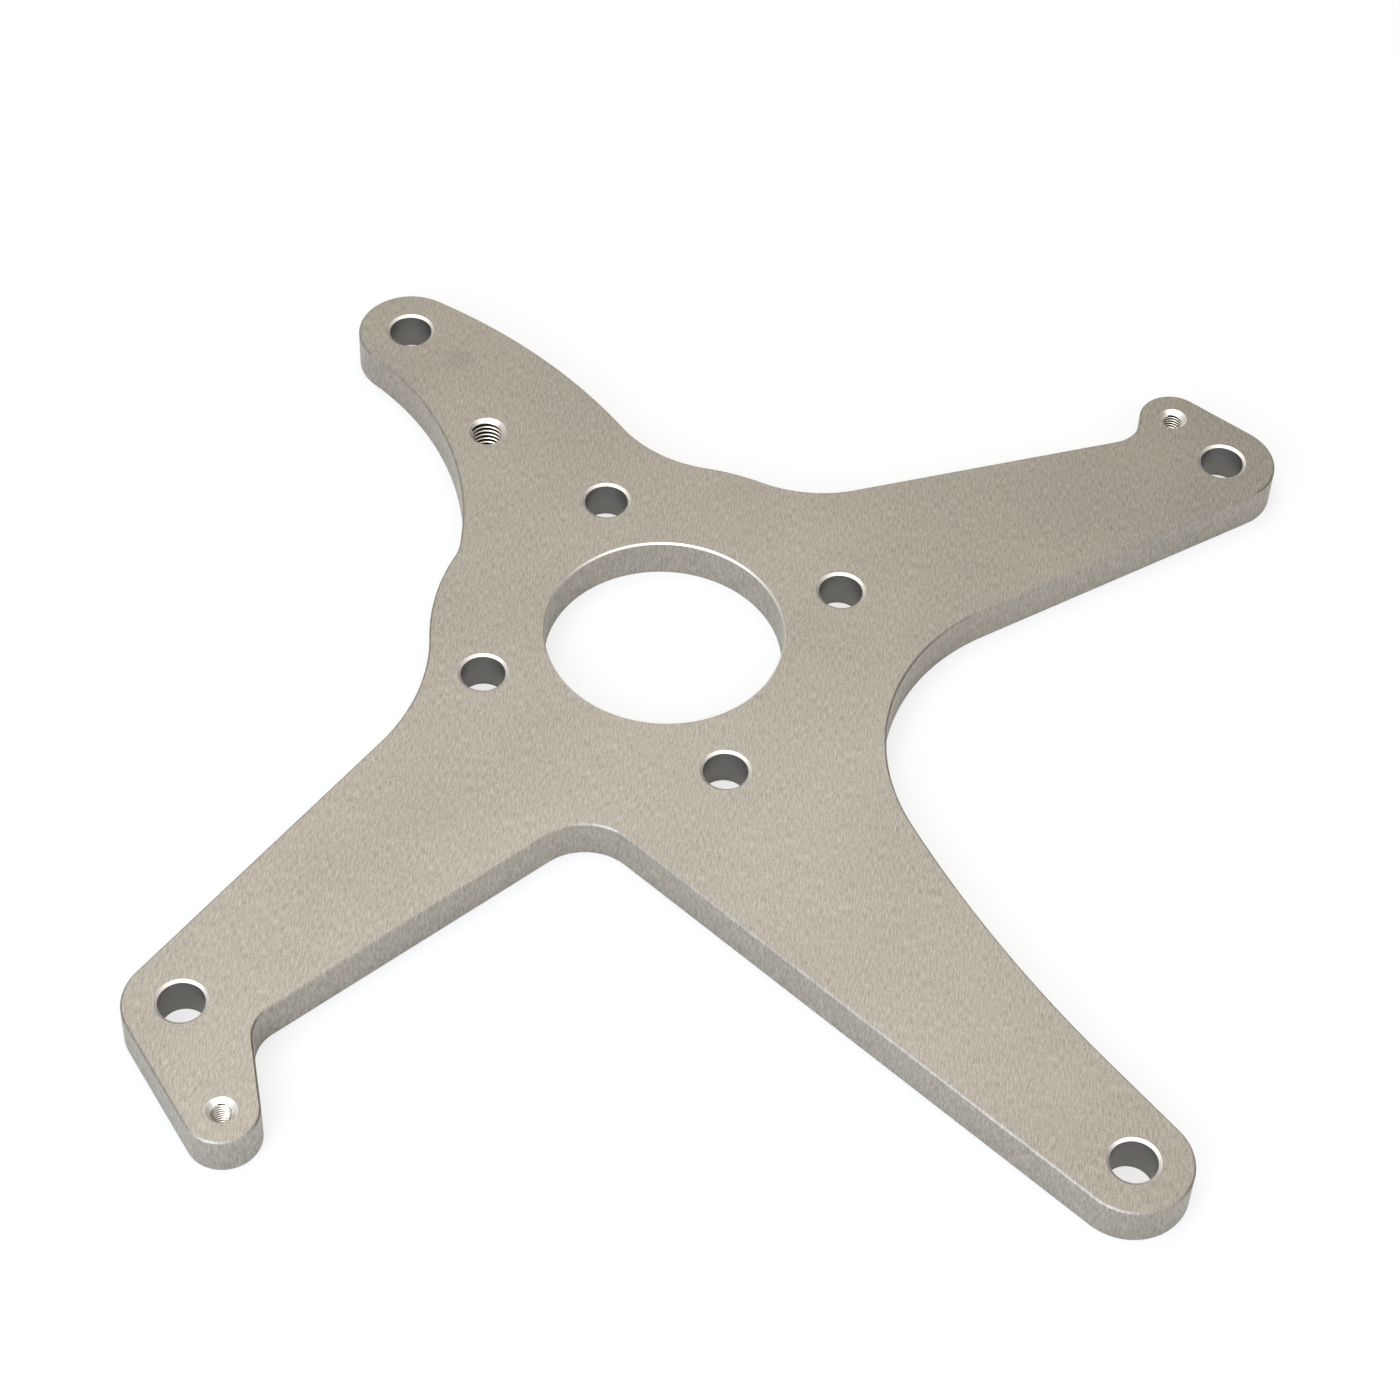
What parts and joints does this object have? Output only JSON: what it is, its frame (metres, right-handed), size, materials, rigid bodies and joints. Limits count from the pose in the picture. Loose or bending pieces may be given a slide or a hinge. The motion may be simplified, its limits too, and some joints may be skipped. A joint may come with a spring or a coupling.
{
  "type": "motor mounting bracket",
  "caption": "Flat four-armed plate that carries a motor: round bore and ring of bolt holes in the hub, a bolt hole at each arm's end, small tapped holes beside them.",
  "frame": {"origin": "on the axis of the motor bore, on the underside of the plate", "axes": "+Z square to the plate, out of its upper face. +X and +Y run along the sides of the motor bolts' square, with +X towards the gap between the se and ne arms"},
  "size_m": [0.2699, 0.2913, 0.01],
  "materials": {
    "plate": "fine bead-blasted, edges lightly bevelled"
  },
  "bodies": {
    "root": {"bracket": "plate"}
  },
  "joints": []
}
